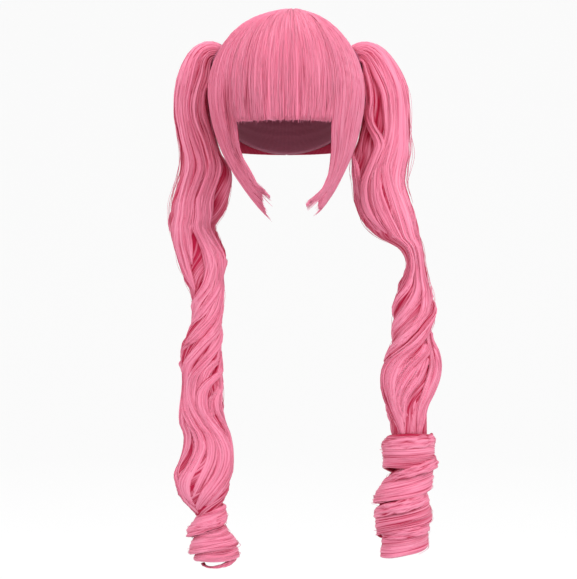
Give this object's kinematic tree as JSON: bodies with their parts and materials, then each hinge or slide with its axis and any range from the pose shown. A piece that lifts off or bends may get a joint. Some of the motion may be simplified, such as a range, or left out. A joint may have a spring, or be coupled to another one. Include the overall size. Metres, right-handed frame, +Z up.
{
  "type": "pigtail wig",
  "caption": "Wig with a blunt fringe, face-framing side locks and long side pigtails that twist down into ringlets.",
  "frame": {"origin": "inside of the crown, at the point that rests on the top of the wearer's head", "axes": "+Z up, the wearer faces -Y, the wearer's left is +X"},
  "size_m": [0.3216, 0.2204, 0.654],
  "materials": {
    "hair": "satin",
    "netting": "matte",
    "elastic": "matte"
  },
  "bodies": {
    "root": {"crown": "netting", "fringe": "hair", "side_lock_left": "hair", "side_lock_right": "hair", "back_hair_left": "hair", "back_hair_right": "hair", "hair_tie_left": "elastic", "hair_tie_right": "elastic", "pigtail_left": "hair", "pigtail_right": "hair", "ringlet_left": "hair", "ringlet_right": "hair"}
  },
  "joints": []
}
